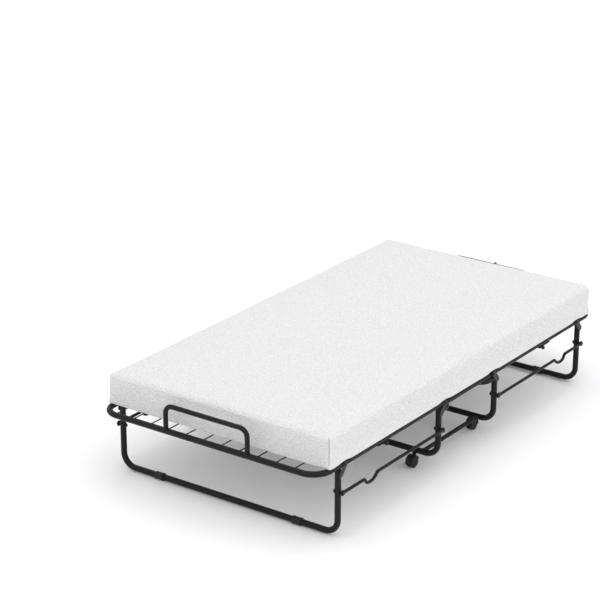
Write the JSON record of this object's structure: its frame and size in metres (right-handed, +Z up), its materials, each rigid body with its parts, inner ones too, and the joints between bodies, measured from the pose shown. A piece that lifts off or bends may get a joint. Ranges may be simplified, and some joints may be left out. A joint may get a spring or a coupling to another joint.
{
  "type": "rollaway bed",
  "caption": "Folding rollaway bed: a tube frame whose two deck halves fold up over a centre stand on hooded casters, with a foam mattress, end legs, side rods and handles.",
  "frame": {"origin": "on the floor, under the middle of the centre stand", "axes": "+X along the bed towards the foot end that carries the latch, +Y across it to the left, +Z up"},
  "size_m": [1.9161, 0.9974, 0.4],
  "materials": {
    "black_tube": "satin black powder coat",
    "black_wire": "satin black coated wire",
    "zinc_steel": "dark plated steel",
    "black_plastic": "moulded black plastic",
    "dark_rubber": "matt black tread",
    "white_ticking": "white knitted cover with a small cell pattern"
  },
  "bodies": {
    "base": {"centre_frame": "black_tube", "centre_wires": "black_wire", "mattress_centre": "white_ticking", "spacer_bar_left": "black_tube", "spacer_bar_right": "black_tube", "centre_leg_head": "black_tube", "centre_leg_foot": "black_tube", "centre_leg_plate_head_left": "zinc_steel", "centre_leg_bolt_head_left": "black_plastic", "centre_leg_plate_head_right": "zinc_steel", "centre_leg_bolt_head_right": "black_plastic", "centre_leg_plate_foot_left": "zinc_steel", "centre_leg_bolt_foot_left": "black_plastic", "centre_leg_plate_foot_right": "zinc_steel", "centre_leg_bolt_foot_right": "black_plastic"},
    "deck_head": {"outer_deck_frame_head": "black_tube", "inner_deck_frame_head": "black_tube", "outer_wires_head": "black_wire", "inner_wires_head": "black_wire", "handle_head": "black_tube", "mattress_head": "white_ticking", "joint_bracket_head_left": "black_plastic", "joint_bracket_head_right": "black_plastic"},
    "leg_head": {"end_leg_head": "black_tube", "end_leg_plate_head_left": "zinc_steel", "end_leg_bolt_head_left": "black_plastic", "foot_sleeve_head_left": "black_plastic", "end_leg_plate_head_right": "zinc_steel", "end_leg_bolt_head_right": "black_plastic", "foot_sleeve_head_right": "black_plastic"},
    "rod_head_left": {"side_rod_head_left": "black_tube"},
    "rod_head_right": {"side_rod_head_right": "black_tube"},
    "caster_head_left": {"caster_head_left_hood": "black_plastic"},
    "wheels_head_left": {"caster_head_left_wheels": "dark_rubber"},
    "caster_head_right": {"caster_head_right_hood": "black_plastic"},
    "wheels_head_right": {"caster_head_right_wheels": "dark_rubber"},
    "deck_foot": {"outer_deck_frame_foot": "black_tube", "inner_deck_frame_foot": "black_tube", "outer_wires_foot": "black_wire", "inner_wires_foot": "black_wire", "handle_foot": "black_tube", "mattress_foot": "white_ticking", "joint_bracket_foot_left": "black_plastic", "joint_bracket_foot_right": "black_plastic"},
    "leg_foot": {"end_leg_foot": "black_tube", "end_leg_plate_foot_left": "zinc_steel", "end_leg_bolt_foot_left": "black_plastic", "foot_sleeve_foot_left": "black_plastic", "end_leg_plate_foot_right": "zinc_steel", "end_leg_bolt_foot_right": "black_plastic", "foot_sleeve_foot_right": "black_plastic"},
    "rod_foot_left": {"side_rod_foot_left": "black_tube"},
    "rod_foot_right": {"side_rod_foot_right": "black_tube"},
    "caster_foot_left": {"caster_foot_left_hood": "black_plastic"},
    "wheels_foot_left": {"caster_foot_left_wheels": "dark_rubber"},
    "caster_foot_right": {"caster_foot_right_hood": "black_plastic"},
    "wheels_foot_right": {"caster_foot_right_wheels": "dark_rubber"},
    "latch": {"latch_hook": "zinc_steel"}
  },
  "joints": [
    {"name": "fold_head", "type": "hinge", "parent": "base", "child": "deck_head", "pos_m": [-0.168, 0, 0.268], "axis": [0, 1, 0], "range_deg": [0, 90], "deforming": ["mattress_centre"]},
    {"name": "end_leg_head_swing", "type": "hinge", "parent": "deck_head", "child": "leg_head", "pos_m": [-0.8005, 0, 0.268], "axis": [0, 1, 0], "range_deg": [-90, 0]},
    {"name": "rod_head_left_swing", "type": "hinge", "parent": "base", "child": "rod_head_left", "pos_m": [-0.1935, 0.4902, 0.173], "axis": [0, 1, 0], "range_deg": [0, 90]},
    {"name": "rod_head_right_swing", "type": "hinge", "parent": "base", "child": "rod_head_right", "pos_m": [-0.1935, -0.4902, 0.173], "axis": [0, 1, 0], "range_deg": [0, 90]},
    {"name": "caster_head_left_swivel", "type": "hinge", "parent": "base", "child": "caster_head_left", "pos_m": [-0.1935, 0.372, 0.0515], "axis": [0, 0, 1], "continuous": true},
    {"name": "wheels_head_left_roll", "type": "hinge", "parent": "caster_head_left", "child": "wheels_head_left", "pos_m": [-0.207, 0.372, 0.022], "axis": [0, 1, 0], "continuous": true},
    {"name": "caster_head_right_swivel", "type": "hinge", "parent": "base", "child": "caster_head_right", "pos_m": [-0.1935, -0.372, 0.0515], "axis": [0, 0, 1], "continuous": true},
    {"name": "wheels_head_right_roll", "type": "hinge", "parent": "caster_head_right", "child": "wheels_head_right", "pos_m": [-0.207, -0.372, 0.022], "axis": [0, 1, 0], "continuous": true},
    {"name": "fold_foot", "type": "hinge", "parent": "base", "child": "deck_foot", "pos_m": [0.168, 0, 0.268], "axis": [0, -1, 0], "range_deg": [0, 90], "deforming": ["mattress_centre"]},
    {"name": "end_leg_foot_swing", "type": "hinge", "parent": "deck_foot", "child": "leg_foot", "pos_m": [0.8005, 0, 0.268], "axis": [0, -1, 0], "range_deg": [-90, 0]},
    {"name": "rod_foot_left_swing", "type": "hinge", "parent": "base", "child": "rod_foot_left", "pos_m": [0.1935, 0.4902, 0.173], "axis": [0, -1, 0], "range_deg": [0, 90]},
    {"name": "rod_foot_right_swing", "type": "hinge", "parent": "base", "child": "rod_foot_right", "pos_m": [0.1935, -0.4902, 0.173], "axis": [0, -1, 0], "range_deg": [0, 90]},
    {"name": "caster_foot_left_swivel", "type": "hinge", "parent": "base", "child": "caster_foot_left", "pos_m": [0.1935, 0.372, 0.0515], "axis": [0, 0, 1], "continuous": true},
    {"name": "wheels_foot_left_roll", "type": "hinge", "parent": "caster_foot_left", "child": "wheels_foot_left", "pos_m": [0.207, 0.372, 0.022], "axis": [0, 1, 0], "continuous": true},
    {"name": "caster_foot_right_swivel", "type": "hinge", "parent": "base", "child": "caster_foot_right", "pos_m": [0.1935, -0.372, 0.0515], "axis": [0, 0, 1], "continuous": true},
    {"name": "wheels_foot_right_roll", "type": "hinge", "parent": "caster_foot_right", "child": "wheels_foot_right", "pos_m": [0.207, -0.372, 0.022], "axis": [0, 1, 0], "continuous": true},
    {"name": "latch_swing", "type": "hinge", "parent": "deck_foot", "child": "latch", "pos_m": [0.9415, -0.0205, 0.366], "axis": [0, -1, 0], "range_deg": [0, 174]}
  ],
  "couplings": [
    {"joint": "end_leg_head_swing", "follows": "fold_head", "ratio": -1},
    {"joint": "rod_head_left_swing", "follows": "fold_head", "ratio": 1},
    {"joint": "rod_head_right_swing", "follows": "fold_head", "ratio": 1},
    {"joint": "end_leg_foot_swing", "follows": "fold_foot", "ratio": -1},
    {"joint": "rod_foot_left_swing", "follows": "fold_foot", "ratio": 1},
    {"joint": "rod_foot_right_swing", "follows": "fold_foot", "ratio": 1}
  ]
}
